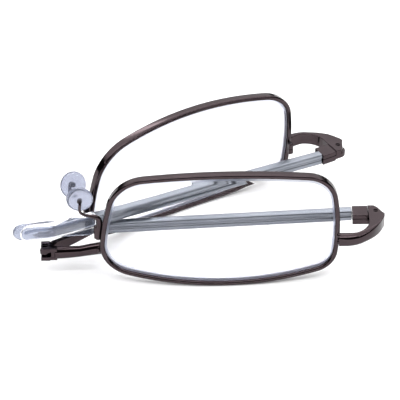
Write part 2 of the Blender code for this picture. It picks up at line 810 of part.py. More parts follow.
def build_pad(side, parent, look, dark):
    """A soft round pad with a pocket in its back, and the metal mount that it rocks on."""
    name = f"{side}_nose_pad"
    bm = bmesh.new()
    bmesh.ops.create_uvsphere(bm, u_segments=20, v_segments=10, radius=0.5)
    size = Vector((PAD_SIZE[0], PAD_SIZE[2], PAD_SIZE[1])) * MM
    bmesh.ops.scale(bm, vec=size, verts=bm.verts)
    pad = add_mesh(name, mesh_from_bmesh(name, bm), parent)
    front = -SIDES[side]
    mesh = cylinder_mesh("pocket", PAD_POCKET_RADIUS, 0.1, 2.0)
    mesh.transform(Matrix.Rotation(math.radians(90 if front < 0 else -90), 4, "X"))
    boolean(pad, mesh, "DIFFERENCE")
    finish(pad, look)
    name = f"{side}_pad_mount"
    mesh = cylinder_mesh(name, MOUNT_RADIUS, 0.2, 0.2 + MOUNT_LENGTH)
    mesh.transform(Matrix.Rotation(math.radians(90 if front < 0 else -90), 4, "X"))
    mount = add_mesh(name, mesh, parent)
    return finish(mount, dark)


# ---------------------------------------------------------------- the glasses

METAL = material("plated_gunmetal", GUNMETAL, 0.22, 1.0)
DARK = material("dark_steel", DARK_STEEL, 0.35, 1.0)
SILVER = material("satin_silver", SATIN_SILVER, 0.35, 0.6)
CLEAR = material("clear_plastic", CLEAR_PLASTIC, 0.12, 0.0)
LENS = material("lens", LENS_CLEAR, 0.02, 0.0)

PIN_PLACE = Vector((PIN_X, PIN_Y, BROW_TO_AXIS)) * MM

for side, s in SIDES.items():
    turn = 0.0 if side == "right" else math.radians(FOLD_DEG)
    half = add_empty(f"{side}_half", PIN_PLACE, (0, 0, turn))
    build_eyewire(side, half, METAL)
    build_lens(side, half, LENS)
    build_rim_lock(side, half, METAL, DARK)
    build_end_piece(side, half, METAL)
    build_bridge_arm(side, half, METAL)
    build_pad_arm(side, half, METAL)

    pin_at = at(TEMPLE_PIN[0], 0.0, TEMPLE_PIN[1], side)
    top = at(TEMPLE_PIN[0], END_TOP_V, TEMPLE_PIN[1], side)
    screw_length = END_HEIGHT - 0.25
    build_screw(
        f"{side}_temple_screw", top, TEMPLE_HEAD_RADIUS, PIN_RADIUS, screw_length, DARK, half
    )
    hinge = add_empty(f"{side}_temple_hinge", pin_at, (0, 0, 0), half)
    build_hinge_block(side, hinge, METAL)
    root_u = TEMPLE_ROOT_U - TEMPLE_PIN[0]
    root_n = TEMPLE_ROOT_N - TEMPLE_PIN[1]
    root = at(root_u, TEMPLE_ROOT_V[side], root_n, side)
    aim = (
        0.0,
        math.radians(TEMPLE_TILT_DEG[side]),
        math.radians(TEMPLE_IN_DEG) * s,
    )
    rail = add_empty(f"{side}_temple_rail", root, aim, hinge)
    build_bar(side, rail, METAL, DARK)
    slider = add_empty(f"{side}_slider", (0, 0, 0), (0, 0, 0), rail)
    build_sleeve(side, slider, SILVER)
    build_tip(side, slider, CLEAR)

    lean, swing = (math.radians(x) for x in PAD_TURN_DEG[side])
    pad_at = at(*PAD_MIDDLE, side)
    pad_hinge = add_empty(f"{side}_pad_hinge", pad_at, (lean, 0, swing), half)
    build_pad(side, pad_hinge, CLEAR, DARK)

    if side == "right":
        bridge_top = at(0.0, BRIDGE_BOTTOM_V + BRIDGE_HEIGHT, 0.0, side)
        build_screw(
            "bridge_screw",
            bridge_top,
            PIN_HEAD_RADIUS,
            PIN_RADIUS,
            BRIDGE_HEIGHT - 0.1,
            DARK,
            half,
        )

bpy.context.view_layer.update()
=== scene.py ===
import json
import math

import bmesh
import bpy
from mathutils import Matrix, Vector


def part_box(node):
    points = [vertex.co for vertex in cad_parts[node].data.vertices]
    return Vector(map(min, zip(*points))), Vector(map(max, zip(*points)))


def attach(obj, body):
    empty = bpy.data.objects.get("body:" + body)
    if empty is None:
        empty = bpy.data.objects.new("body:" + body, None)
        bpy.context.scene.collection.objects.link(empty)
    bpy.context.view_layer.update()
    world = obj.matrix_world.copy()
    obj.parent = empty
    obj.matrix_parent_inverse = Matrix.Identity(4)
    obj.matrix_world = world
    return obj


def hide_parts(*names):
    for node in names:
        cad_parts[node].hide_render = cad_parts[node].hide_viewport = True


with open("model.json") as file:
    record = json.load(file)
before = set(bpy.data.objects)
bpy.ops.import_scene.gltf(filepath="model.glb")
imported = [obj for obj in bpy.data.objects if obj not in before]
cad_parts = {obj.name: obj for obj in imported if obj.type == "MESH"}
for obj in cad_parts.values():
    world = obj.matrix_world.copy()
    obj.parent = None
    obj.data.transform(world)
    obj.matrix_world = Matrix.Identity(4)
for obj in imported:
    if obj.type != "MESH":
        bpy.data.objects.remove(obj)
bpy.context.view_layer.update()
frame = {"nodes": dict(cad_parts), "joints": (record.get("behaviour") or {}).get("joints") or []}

# ---------------------------------------------------------------- the two halves
# The glasses are two mirrored halves that turn on the bridge screw. Most pieces are drawn once, in a half's
# own axes in millimetres (u outwards from the screw, n out of the front of the lens, v up), and are then set
# in place in each half by the matrix here. The temples and the pads have axes of their own.
MM = 0.001
SIDES = ("right", "left")

joints = {joint["name"]: joint for joint in frame["joints"]}
bridge_pin = Vector(joints["bridge_fold"]["pos_m"])
hinge_angles = {}
for side in SIDES:
    reach = Vector(joints[f"{side}_temple_fold"]["pos_m"]) - bridge_pin
    hinge_angles[side] = math.atan2(reach.y, reach.x)
fold_angle = hinge_angles["left"] + hinge_angles["right"]

half_axes = {
    "right": Matrix.Translation(bridge_pin) @ Matrix.Diagonal((MM, -MM, MM, 1)),
    "left": Matrix.Translation(bridge_pin)
    @ Matrix.Rotation(fold_angle, 4, "Z")
    @ Matrix.Diagonal((MM, MM, MM, 1)),
}


def make_piece(name, bm, place, body, nodes, material, smooth_deg=40):
    """Sets a drawn piece in place, shades it, and hands it to its body and material slot."""
    bmesh.ops.remove_doubles(bm, verts=bm.verts, dist=1e-5)
    bm.transform(place)
    bmesh.ops.recalc_face_normals(bm, faces=bm.faces)
    mesh = bpy.data.meshes.new(name)
    bm.to_mesh(mesh)
    bm.free()
    mesh.shade_smooth()
    mesh.set_sharp_from_angle(angle=math.radians(smooth_deg))
    mesh.materials.append(material)
    piece = bpy.data.objects.new(name, mesh)
    bpy.context.scene.collection.objects.link(piece)
    evened = piece.modifiers.new("even_shading", "WEIGHTED_NORMAL")
    evened.keep_sharp = True
    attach(piece, body)
    if nodes:
        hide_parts(*nodes)
    return piece


# ---------------------------------------------------------------- finishes
# The plating is bright and hard over brass or steel wire, with hair lines left by polishing and a slight
# unevenness in the plating; the satin parts are brushed along their length. These marks are one node group.


def plating_marks_group():
    """Outputs a colour, a roughness and a normal with polishing lines and plating unevenness."""
    group = bpy.data.node_groups.new("plating_marks", "ShaderNodeTree")
    face = group.interface
    for socket, kind, value in (
        ("Colour", "NodeSocketColor", (0.1, 0.1, 0.1, 1)),
        ("Worn Colour", "NodeSocketColor", (0.2, 0.2, 0.2, 1)),
        ("Roughness", "NodeSocketFloat", 0.2),
        ("Roughness Spread", "NodeSocketFloat", 0.1),
        ("Line Strength", "NodeSocketFloat", 0.1),
        ("Lines Across", "NodeSocketFloat", 2600),
        ("Lines Along", "NodeSocketFloat", 300),
        ("Direction", "NodeSocketVector", (1, 0, 0)),
    ):
        made = face.new_socket(socket, in_out="INPUT", socket_type=kind)
        made.default_value = value
    face.new_socket("Colour", in_out="OUTPUT", socket_type="NodeSocketColor")
    face.new_socket("Roughness", in_out="OUTPUT", socket_type="NodeSocketFloat")
    face.new_socket("Normal", in_out="OUTPUT", socket_type="NodeSocketVector")
    nodes, links = group.nodes, group.links
    given, out = nodes.new("NodeGroupInput"), nodes.new("NodeGroupOutput")
    coords = nodes.new("ShaderNodeTexCoord")
    cloud = nodes.new("ShaderNodeTexNoise")
    cloud.inputs["Scale"].default_value = 260
    cloud.inputs["Detail"].default_value = 4
    links.new(coords.outputs["Object"], cloud.inputs["Vector"])
    reach = nodes.new("ShaderNodeVectorMath")
    reach.operation = "DOT_PRODUCT"
    links.new(coords.outputs["Object"], reach.inputs[0])
    links.new(given.outputs["Direction"], reach.inputs[1])
    slower = nodes.new("ShaderNodeMath")
    slower.operation = "SUBTRACT"
    links.new(given.outputs["Lines Along"], slower.inputs[0])
    links.new(given.outputs["Lines Across"], slower.inputs[1])
    drawn = nodes.new("ShaderNodeMath")
    drawn.operation = "MULTIPLY"
    links.new(reach.outputs["Value"], drawn.inputs[0])
    links.new(slower.outputs[0], drawn.inputs[1])
    shift = nodes.new("ShaderNodeVectorMath")
    shift.operation = "SCALE"
    links.new(given.outputs["Direction"], shift.inputs[0])
    links.new(drawn.outputs[0], shift.inputs["Scale"])
    fine = nodes.new("ShaderNodeVectorMath")
    fine.operation = "SCALE"
    links.new(coords.outputs["Object"], fine.inputs[0])
    links.new(given.outputs["Lines Across"], fine.inputs["Scale"])
    stretch = nodes.new("ShaderNodeVectorMath")
    stretch.operation = "ADD"
    links.new(fine.outputs[0], stretch.inputs[0])
    links.new(shift.outputs[0], stretch.inputs[1])
    lines = nodes.new("ShaderNodeTexNoise")
    lines.inputs["Scale"].default_value = 1
    lines.inputs["Detail"].default_value = 5
    lines.inputs["Roughness"].default_value = 0.65
    links.new(stretch.outputs[0], lines.inputs["Vector"])
    tone = nodes.new("ShaderNodeMix")
    tone.data_type = "RGBA"
    links.new(cloud.outputs["Fac"], tone.inputs["Factor"])
    links.new(given.outputs["Colour"], tone.inputs["A"])
    links.new(given.outputs["Worn Colour"], tone.inputs["B"])
    links.new(tone.outputs["Result"], out.inputs["Colour"])
    spread = nodes.new("ShaderNodeMath")
    spread.operation = "MULTIPLY_ADD"
    links.new(lines.outputs["Fac"], spread.inputs[0])
    links.new(given.outputs["Roughness Spread"], spread.inputs[1])
    links.new(given.outputs["Roughness"], spread.inputs[2])
    links.new(spread.outputs[0], out.inputs["Roughness"])
    bump = nodes.new("ShaderNodeBump")
    bump.inputs["Distance"].default_value = 0.00002
    links.new(given.outputs["Line Strength"], bump.inputs["Strength"])
    links.new(lines.outputs["Fac"], bump.inputs["Height"])
    links.new(bump.outputs["Normal"], out.inputs["Normal"])
    return group


plating_marks = plating_marks_group()


def plated_finish(
    name, colour, worn, roughness, spread, line_strength, lines, painted_edge_shade, direction=(1, 0, 0)
):
    """A metal whose colour, roughness and fine lines come from the marks group; its colour is darkened
    towards grazing edges, a painted shade.
    """
    made = bpy.data.materials.new(name)
    made.use_nodes = True
    nodes, links = made.node_tree.nodes, made.node_tree.links
    shader = nodes["Principled BSDF"]
    shader.inputs["Metallic"].default_value = 1
    marks = nodes.new("ShaderNodeGroup")
    marks.node_tree = plating_marks
    marks.inputs["Colour"].default_value = (*colour, 1)
    marks.inputs["Worn Colour"].default_value = (*worn, 1)
    marks.inputs["Roughness"].default_value = roughness
    marks.inputs["Roughness Spread"].default_value = spread
    marks.inputs["Line Strength"].default_value = line_strength
    marks.inputs["Lines Across"].default_value = lines[0]
    marks.inputs["Lines Along"].default_value = lines[1]
    marks.inputs["Direction"].default_value = direction
    # painted shade: the colour is scaled down where the surface turns away from the view, standing in for the
    # dark bands that rounded metal reflects
    edge = nodes.new("ShaderNodeLayerWeight")
    edge.inputs["Blend"].default_value = 0.5
    falling = nodes.new("ShaderNodeMapRange")
    falling.inputs["From Min"].default_value = 0.35
    falling.inputs["From Max"].default_value = 0.85
    falling.inputs["To Min"].default_value = 1
    falling.inputs["To Max"].default_value = painted_edge_shade
    links.new(edge.outputs["Facing"], falling.inputs["Value"])
    darker = nodes.new("ShaderNodeVectorMath")
    darker.operation = "SCALE"
    links.new(marks.outputs["Colour"], darker.inputs[0])
    links.new(falling.outputs["Result"], darker.inputs["Scale"])
    links.new(darker.outputs[0], shader.inputs["Base Color"])
    links.new(marks.outputs["Roughness"], shader.inputs["Roughness"])
    links.new(marks.outputs["Normal"], shader.inputs["Normal"])
    return made


gunmetal = plated_finish(
    "bright_gunmetal", (0.045, 0.033, 0.036), (0.068, 0.052, 0.056), 0.07, 0.06, 0.1, (2600, 900), 0.22
)
dark_steel = plated_finish(
    "dark_screw_steel", (0.06, 0.055, 0.06), (0.12, 0.11, 0.12), 0.28, 0.15, 0.3, (2500, 2500), 0.4
)

# ---------------------------------------------------------------- eyewires
# Each eyewire is a drawn metal wire of rounded section, bent round the lens and closed at the temple side.
# A V groove runs round its inside to hold the edge of the lens.
EYEWIRE_WIDTH, EYEWIRE_DEPTH = 1.0, 1.85
EYEWIRE_ROUND = 0.4
GROOVE_DEPTH, GROOVE_WIDTH = 0.35, 0.8
LENS_CORNERS = ((11.4, -8.5), (57.7, -9.1), (57.3, 10.8), (14.6, 10.8))
EDGE_BOWS = (2.55, 1.15, 2.6, 0.87)
CORNER_LENGTHS = (5.4, 3.0, 4.5, 5.3)
CORNER_WEIGHT = 0.8
LENS_MIDDLE = Vector((35.2, 1.0))
LENS_FRONT_N, BASE_CURVE_R, LENS_LEAN = 4.63, 95.7, -0.081


def bowed(corner, following, bow, along):
    """A point on a lens edge that bows outwards."""
    chord = following - corner
    share = along / chord.length
    outwards = Vector((chord.y, -chord.x)).normalized()
    return corner + chord * share + outwards * bow * 4 * share * (1 - share)


def lens_outline(edge_steps, corner_steps):
    """The middle of the eyewire all round the lens: four bowed edges and four blended corners."""
    corners = [Vector(corner) for corner in LENS_CORNERS]
    points = []
    for k in range(4):
        here, there, after = corners[k], corners[(k + 1) % 4], corners[(k + 2) % 4]
        next_bow, next_length = EDGE_BOWS[(k + 1) % 4], CORNER_LENGTHS[(k + 1) % 4]
        begin, end = CORNER_LENGTHS[k], (there - here).length - next_length
        for i in range(edge_steps):
            along = begin + (end - begin) * i / (edge_steps - 1)
            points.append(bowed(here, there, EDGE_BOWS[k], along))
        start, stop = points[-1], bowed(there, after, next_bow, next_length)
        leaving = start - bowed(here, there, EDGE_BOWS[k], end - 0.01)
        arriving = bowed(there, after, next_bow, next_length + 0.01) - stop
        reach = (stop - start).cross(arriving) / leaving.cross(arriving)
        tip = start + leaving * reach
        for i in range(1, corner_steps):
            t = i / corner_steps
            a, b, c = (1 - t) ** 2, 2 * t * (1 - t) * CORNER_WEIGHT, t * t
            points.append((start * a + tip * b + stop * c) / (a + b + c))
    return points


def lens_height(point):
    """How far forward the middle of the lens lies, with its base curve and its lean."""
    away = point - LENS_MIDDLE
    return LENS_FRONT_N - away.length_squared / (2 * BASE_CURVE_R) + away.y * LENS_LEAN


outline = lens_outline(28, 12)
towards_lens = []
for i, point in enumerate(outline):
    ahead = (outline[(i + 1) % len(outline)] - outline[i - 1]).normalized()
    towards_lens.append(Vector((-ahead.y, ahead.x)))


def rim_ring(bm, offset, depth):
    """A closed loop of edges that follows the rim, moved towards the lens and forwards."""
    verts = []
    for point, inwards in zip(outline, towards_lens):
        moved = point + inwards * offset
        verts.append(bm.verts.new((moved.x, lens_height(point) + depth, moved.y)))
    return [bm.edges.new((a, b)) for a, b in zip(verts, verts[1:] + verts[:1])]


def rounded_corners(width, height, radius, steps):
    """Points round an upright rounded rectangle, starting at the lower right corner."""
    points = []
    for sign_x, sign_y, start in ((1, -1, -90), (1, 1, 0), (-1, 1, 90), (-1, -1, 180)):
        for i in range(steps + 1):
            turn = math.radians(start + 90 * i / steps)
            x = sign_x * (width / 2 - radius) + radius * math.cos(turn)
            y = sign_y * (height / 2 - radius) + radius * math.sin(turn)
            points.append((x, y))
    return points


for side in SIDES:
    bm = bmesh.new()
    section = rounded_corners(EYEWIRE_WIDTH, EYEWIRE_DEPTH, EYEWIRE_ROUND, 5)
    lens_side = EYEWIRE_WIDTH / 2
    groove = (
        (lens_side, -GROOVE_WIDTH / 2 + 0.1),
        (lens_side - GROOVE_DEPTH, 0),
        (lens_side, GROOVE_WIDTH / 2 - 0.1),
    )
    section = section[:6] + list(groove) + section[6:]
    rings = [rim_ring(bm, offset, depth) for offset, depth in section]
    for one, other in zip(rings, rings[1:] + rings[:1]):
        bmesh.ops.bridge_loops(bm, edges=one + other)
    make_piece(
        f"{side}_rim", bm, half_axes[side], f"{side}_frame", [f"{side}_eyewire"], gunmetal
    )

# ---------------------------------------------------------------- lenses
# A reading lens is a thin meniscus of clear resin with polished faces, and an edge ground to a V that sits
# in the eyewire's groove.
LENS_THICKNESS, EDGE_GRIND = 1.5, 0.4
LENS_EDGE = EYEWIRE_WIDTH / 2 + 0.02
LENS_BEVEL_TIP = EYEWIRE_WIDTH / 2 - GROOVE_DEPTH + 0.03


def lens_finish(name, colour, tint, roughness, transmission):
    """Clear resin, polished or ground, with a faint film on its surface."""
    made = bpy.data.materials.new(name)
    made.use_nodes = True
    nodes, links = made.node_tree.nodes, made.node_tree.links
    shader = nodes["Principled BSDF"]
    shader.inputs["IOR"].default_value = 1.08
    shader.inputs["Metallic"].default_value = 0
    shader.inputs["Transmission Weight"].default_value = transmission
    coords = nodes.new("ShaderNodeTexCoord")
    film = nodes.new("ShaderNodeTexNoise")
    film.inputs["Scale"].default_value = 90
    film.inputs["Detail"].default_value = 3
    links.new(coords.outputs["Object"], film.inputs["Vector"])
    tone = nodes.new("ShaderNodeMix")
    tone.data_type = "RGBA"
    tone.inputs["A"].default_value = (*colour, 1)
    tone.inputs["B"].default_value = (*tint, 1)
    links.new(film.outputs["Fac"], tone.inputs["Factor"])
    links.new(tone.outputs["Result"], shader.inputs["Base Color"])
    shader.inputs["Roughness"].default_value = roughness
    return made


def let_shadow_rays_through(made, colour):
    """Swaps the finish for plain see-through on shadow rays, so that clear pieces shade only lightly."""
    nodes, links = made.node_tree.nodes, made.node_tree.links
    clear = nodes.new("ShaderNodeBsdfTransparent")
    clear.inputs["Color"].default_value = colour
    rays = nodes.new("ShaderNodeLightPath")
    mix = nodes.new("ShaderNodeMixShader")
    links.new(rays.outputs["Is Shadow Ray"], mix.inputs["Fac"])
    links.new(nodes["Principled BSDF"].outputs["BSDF"], mix.inputs[1])
    links.new(clear.outputs["BSDF"], mix.inputs[2])
    links.new(mix.outputs["Shader"], nodes["Material Output"].inputs["Surface"])


lens_resin = lens_finish("clear_lens_resin", (1.0, 1.0, 1.0), (0.985, 0.985, 0.995), 0, 1)
ground_edge = lens_finish("ground_lens_edge", (0.62, 0.64, 0.74), (0.46, 0.48, 0.58), 0.35, 0.8)
for resin in (lens_resin, ground_edge):
    let_shadow_rays_through(resin, (0.93, 0.93, 0.95, 1))

for side in SIDES:
    bm = bmesh.new()
    half_depth = LENS_THICKNESS / 2

    def inner_ring(share, depth):
        verts = []
        for point, inwards in zip(outline, towards_lens):
            moved = LENS_MIDDLE + (point + inwards * LENS_EDGE - LENS_MIDDLE) * share
            verts.append(bm.verts.new((moved.x, lens_height(moved) + depth, moved.y)))
        return [bm.edges.new((a, b)) for a, b in zip(verts, verts[1:] + verts[:1])]

    shares = (0.04, 0.2, 0.4, 0.6, 0.8, 0.93)
    front = [inner_ring(share, half_depth) for share in shares]
    front.append(rim_ring(bm, LENS_EDGE + EDGE_GRIND, half_depth))
    edge = [rim_ring(bm, LENS_EDGE, half_depth * 0.55), rim_ring(bm, LENS_EDGE, 0.3)]
    edge += [rim_ring(bm, LENS_BEVEL_TIP, 0)]
    edge += [rim_ring(bm, LENS_EDGE, -0.3), rim_ring(bm, LENS_EDGE, -half_depth * 0.55)]
    back = [rim_ring(bm, LENS_EDGE + EDGE_GRIND, -half_depth)]
    back += [inner_ring(share, -half_depth) for share in reversed(shares)]
    rings = front + edge + back
    for i, (one, other) in enumerate(zip(rings, rings[1:])):
        made = bmesh.ops.bridge_loops(bm, edges=one + other)
        for face in made["faces"]:
            face.material_index = int(len(front) - 1 <= i < len(front) + len(edge))
    for end in (rings[0], rings[-1]):
        bmesh.ops.contextual_create(bm, geom=end, mat_nr=0)
    lens = make_piece(
        f"{side}_lens_resin", bm, half_axes[side], f"{side}_frame", [f"{side}_lens"], lens_resin
    )
    lens.data.materials.append(ground_edge)

# ---------------------------------------------------------------- end pieces
# Each end piece is a strip of the same plated metal, curved round from the front of the rim to the temple
# hinge and soldered to the rim. It is cut to half its height over the hinge, where the temple's lug lies.
END_TOP_V, END_HEIGHT, BLADE_ROUND = -1.45, 2.7, 1.0
BLADE_FRONT = ((61.1, 4.07), (63.2, 3.5), (64.9, 2.3), (66.3, 0.9), (67.6, -1.0), (68.55, -3.1))
BLADE_END = ((68.65, -3.9), (68.0, -4.8), (67.25, -6.1), (66.5, -6.75), (65.3, -6.75))
BLADE_BACK = ((65.3, -1.5), (65.05, -0.2), (64.2, 1.2), (63.1, 2.1), (62.0, 2.45))
TEMPLE_PIN = Vector((66.85, -4.9))
LUG_RADIUS = 1.55
LAP_STEP_N = TEMPLE_PIN.y + LUG_RADIUS + 0.1
BROKEN_EDGE, LEAST_ROUND = 0.13, 0.22
SOLDER_SIZE = (1.0, 1.1, 1.2)
BLOCK_TOP_V, BLOCK_HEIGHT, LAP_GAP = -1.55, 2.3, 0.08


def arc(middle, radius, start_deg, end_deg, steps):
    """Points of an arc seen from above."""
    points = []
    for i in range(steps + 1):
        turn = math.radians(start_deg + (end_deg - start_deg) * i / steps)
        points.append((middle[0] + radius * math.cos(turn), middle[1] + radius * math.sin(turn)))
    return points


def upright_plate(points, bottom, top, rounding, segments):
    """A plate with that outline seen from above, with rounded upper and lower edges."""
    bm = bmesh.new()
    verts = [bm.verts.new((u, n, bottom)) for u, n in points]
    base = bm.faces.new(verts)
    raised = bmesh.ops.extrude_face_region(bm, geom=[base])
    lifted = [v for v in raised["geom"] if isinstance(v, bmesh.types.BMVert)]
    bmesh.ops.translate(bm, vec=(0, 0, top - bottom), verts=lifted)
    bmesh.ops.recalc_face_normals(bm, faces=bm.faces)
    level = [e for e in bm.edges if abs(e.verts[0].co.z - e.verts[1].co.z) < 1e-6]
    bmesh.ops.bevel(
        bm, geom=level, offset=rounding, offset_type="OFFSET", affect="EDGES",
        segments=segments, profile=0.5, material=-1, clamp_overlap=True,
    )
    return bm


def cut_away(bm, point, normal):
    """Cuts a piece by a plane, drops the side the normal points to, and closes the cut."""
    geom = bm.verts[:] + bm.edges[:] + bm.faces[:]
    cut = bmesh.ops.bisect_plane(bm, geom=geom, plane_co=point, plane_no=normal, clear_outer=True)
    rim = [e for e in cut["geom_cut"] if isinstance(e, bmesh.types.BMEdge)]
    bmesh.ops.contextual_create(bm, geom=rim)


def join_in(bm, other):
    """Adds another drawn shape to this one."""
    mesh = bpy.data.meshes.new("joined")
    other.to_mesh(mesh)
    other.free()
    bm.from_mesh(mesh)
    bpy.data.meshes.remove(mesh)


def ball(middle, size, steps=16):
    """A ball, stretched to that size."""
    bm = bmesh.new()
    bmesh.ops.create_uvsphere(bm, u_segments=steps, v_segments=steps // 2, radius=0.5)
    bmesh.ops.scale(bm, vec=size, verts=bm.verts)
    bmesh.ops.translate(bm, vec=middle, verts=bm.verts)
    return bm


def smooth_route(points, steps):
    """A smooth line through the given points, both ends included."""
    points = [Vector(point) for point in points]
    ends = [points[0] * 2 - points[1], *points, points[-1] * 2 - points[-2]]
    line = []
    for a, b, c, d in zip(ends, ends[1:], ends[2:], ends[3:]):
        for i in range(steps):
            t = i / steps
            bend = (a * 2 - b * 5 + c * 4 - d) * t * t + (b * 3 - a - c * 3 + d) * t ** 3
            line.append((b * 2 + (c - a) * t + bend) / 2)
    return [*line, points[-1]]


front_edge = smooth_route(((58.9, 3.95), *BLADE_FRONT), 8)
back_edge = smooth_route((*BLADE_BACK, (58.9, 2.4)), 8)
blade_outline = [*front_edge, *(Vector(point) for point in BLADE_END), *back_edge]


def blade_body(bottom, top):
    """The whole blade, its front edges rounded over and its other edges only broken."""
    bm = bmesh.new()
    verts = [bm.verts.new((u, n, bottom)) for u, n in blade_outline]
    base = bm.faces.new(verts)
    raised = bmesh.ops.extrude_face_region(bm, geom=[base])
    lifted = [v for v in raised["geom"] if isinstance(v, bmesh.types.BMVert)]
    bmesh.ops.translate(bm, vec=(0, 0, top - bottom), verts=lifted)
    bmesh.ops.recalc_face_normals(bm, faces=bm.faces)
    front = {(round(p.x, 3), round(p.y, 3)) for p in front_edge}
    rounded = bm.edges.layers.float.new("bevel_weight_edge")
    for edge in bm.edges:
        one, other = (v.co for v in edge.verts)
        if abs(one.z - other.z) > 1e-6:
            continue
        on_front = all((round(co.x, 3), round(co.y, 3)) in front for co in (one, other))
        middle_n = (one.y + other.y) / 2
        thinned = min(1, max(LEAST_ROUND, (middle_n + 1.2) / 4))
        edge[rounded] = thinned if on_front else BROKEN_EDGE
    mesh = bpy.data.meshes.new("blade_blank")
    bm.to_mesh(mesh)
    bm.free()
    blank = bpy.data.objects.new("blade_blank", mesh)
    bpy.context.scene.collection.objects.link(blank)
    rounding = blank.modifiers.new("rounding", "BEVEL")
    rounding.limit_method = "WEIGHT"
    rounding.width = BLADE_ROUND
    rounding.segments = 7
    rounding.use_clamp_overlap = False
    bpy.context.view_layer.update()
    shaped = blank.evaluated_get(bpy.context.evaluated_depsgraph_get())
    bm = bmesh.new()
    bm.from_mesh(shaped.to_mesh())
    shaped.to_mesh_clear()
    bpy.data.objects.remove(blank)
    return bm


for side in SIDES:
    bottom_v = END_TOP_V - END_HEIGHT
    lap_v = BLOCK_TOP_V - BLOCK_HEIGHT / 2 + LAP_GAP / 2
    bm = blade_body(bottom_v, END_TOP_V)
    cut_away(bm, (0, LAP_STEP_N, 0), (0, -1, 0))
    tongue = blade_body(bottom_v, END_TOP_V)
    cut_away(tongue, (0, LAP_STEP_N, 0), (0, 1, 0))
    cut_away(tongue, (0, 0, lap_v), (0, 0, -1))
    join_in(bm, tongue)
    for v in (-1.9, -3.5):
        join_in(bm, ball((58.95, 2.75, v), SOLDER_SIZE))
    make_piece(
        f"{side}_end_blade", bm, half_axes[side],
        f"{side}_frame", [f"{side}_end_piece"], gunmetal,
    )

# ---------------------------------------------------------------- temple hinge blocks
# The root of each temple is a squared block milled from the same metal, with a lug that turns on the hinge
# screw under the end piece. A fine seam shows where its upper plate lies on the lower one.
BLOCK_U, BLOCK_N = (62.1, 65.26), (-6.75, -3.4)
SEAM_DOWN, SEAM_HALF = 0.42, 0.05
LUG_ROOT = 0.5


def bevelled_box(low, high, rounding, segments=3):
    """A box between two corners with rounded edges."""
    bm = bmesh.new()
    bmesh.ops.create_cube(bm, size=1)
    size = Vector(high) - Vector(low)
    bmesh.ops.scale(bm, vec=size, verts=bm.verts)
    bmesh.ops.translate(bm, vec=(Vector(low) + Vector(high)) / 2, verts=bm.verts)
    bmesh.ops.bevel(
        bm, geom=bm.edges[:], offset=rounding, offset_type="OFFSET", affect="EDGES",
        segments=segments, profile=0.5, material=-1, clamp_overlap=True,
    )
    return bm


for side in SIDES:
    bottom_v = BLOCK_TOP_V - BLOCK_HEIGHT
    seam_v = BLOCK_TOP_V - BLOCK_HEIGHT * SEAM_DOWN
    lap_v = BLOCK_TOP_V - BLOCK_HEIGHT / 2 - LAP_GAP / 2
    lower_corner = (BLOCK_U[1], BLOCK_N[1], seam_v - SEAM_HALF)
    bm = bevelled_box((BLOCK_U[0], BLOCK_N[0], bottom_v), lower_corner, 0.12)
    upper_corner = (BLOCK_U[0], BLOCK_N[0], seam_v + SEAM_HALF)
    join_in(bm, bevelled_box(upper_corner, (BLOCK_U[1], BLOCK_N[1], BLOCK_TOP_V), 0.14))
    core = 0.12
    join_in(
        bm,
        bevelled_box(
            (BLOCK_U[0] + core, BLOCK_N[0] + core, seam_v - 0.2),
            (BLOCK_U[1] - core, BLOCK_N[1] - core, seam_v + 0.2),
            0.02,
            1,
        ),
    )
    lug = [(BLOCK_U[1] - LUG_ROOT, TEMPLE_PIN.y - LUG_RADIUS), *arc(TEMPLE_PIN, LUG_RADIUS, -90, 90, 20)]
    lug += [(BLOCK_U[1] - LUG_ROOT, TEMPLE_PIN.y + LUG_RADIUS)]
    join_in(bm, upright_plate(lug, bottom_v, lap_v, 0.15, 3))
    make_piece(
        f"{side}_temple_root", bm, half_axes[side],
        f"{side}_temple", [f"{side}_hinge_block"], gunmetal,
    )

# ---------------------------------------------------------------- temple sleeves
# The outer part of each temple is a drawn tube of satin, blue-grey plated metal with a long groove down each
# face. It slides along the flat inner bar, which enters it through the recess in its open end.
TEMPLE_ROOT = {"right": (61.95, -5.6, -2.65), "left": (61.95, -5.6, -2.55)}
SLEEVE_START, SLEEVE_LENGTH = -0.05, 61.25
SLEEVE_THICK, SLEEVE_HIGH, SLEEVE_ROUND, SLEEVE_WALL = 1.8, 2.5, 0.42, 0.3
GROOVE_HALF, GROOVE_IN = 0.36, 0.16

temple_axes = {}
for side in SIDES:
    slide = half_axes[side].to_3x3().inverted() @ Vector(joints[f"{side}_temple_slide"]["axis"])
    slide.normalize()
    sideways = Vector((0, 0, 1)).cross(slide).normalized()
    above = slide.cross(sideways)
    turned = Matrix((slide, sideways, above)).transposed().to_4x4()
    temple_axes[side] = half_axes[side] @ Matrix.Translation(TEMPLE_ROOT[side]) @ turned


def along_rings(sections):
    """A body through upright sections, each a distance along the temple and its (side, up) points."""
    bm = bmesh.new()
    loops = []
    for along, points in sections:
        verts = [bm.verts.new((along, y, z)) for y, z in points]
        loops.append([bm.edges.new((a, b)) for a, b in zip(verts, verts[1:] + verts[:1])])
    for one, other in zip(loops, loops[1:]):
        bmesh.ops.bridge_loops(bm, edges=one + other)
    return bm, loops


def sleeve_section(shrink):
    """The tube's outline, drawn in by shrink, with a soft groove along the middle of each face."""
    points = rounded_corners(SLEEVE_THICK - 2 * shrink, SLEEVE_HIGH - 2 * shrink, SLEEVE_ROUND - shrink, 5)
    half = SLEEVE_THICK / 2 - shrink
    face = []
    for i in range(7):
        z = -GROOVE_HALF + GROOVE_HALF * i / 3
        face.append((half - GROOVE_IN * max(0, math.cos(z / GROOVE_HALF * math.pi / 2)) ** 0.7, z))
    back = [(-y, -z) for y, z in face]
    return points[:6] + face + points[6:18] + back + points[18:]


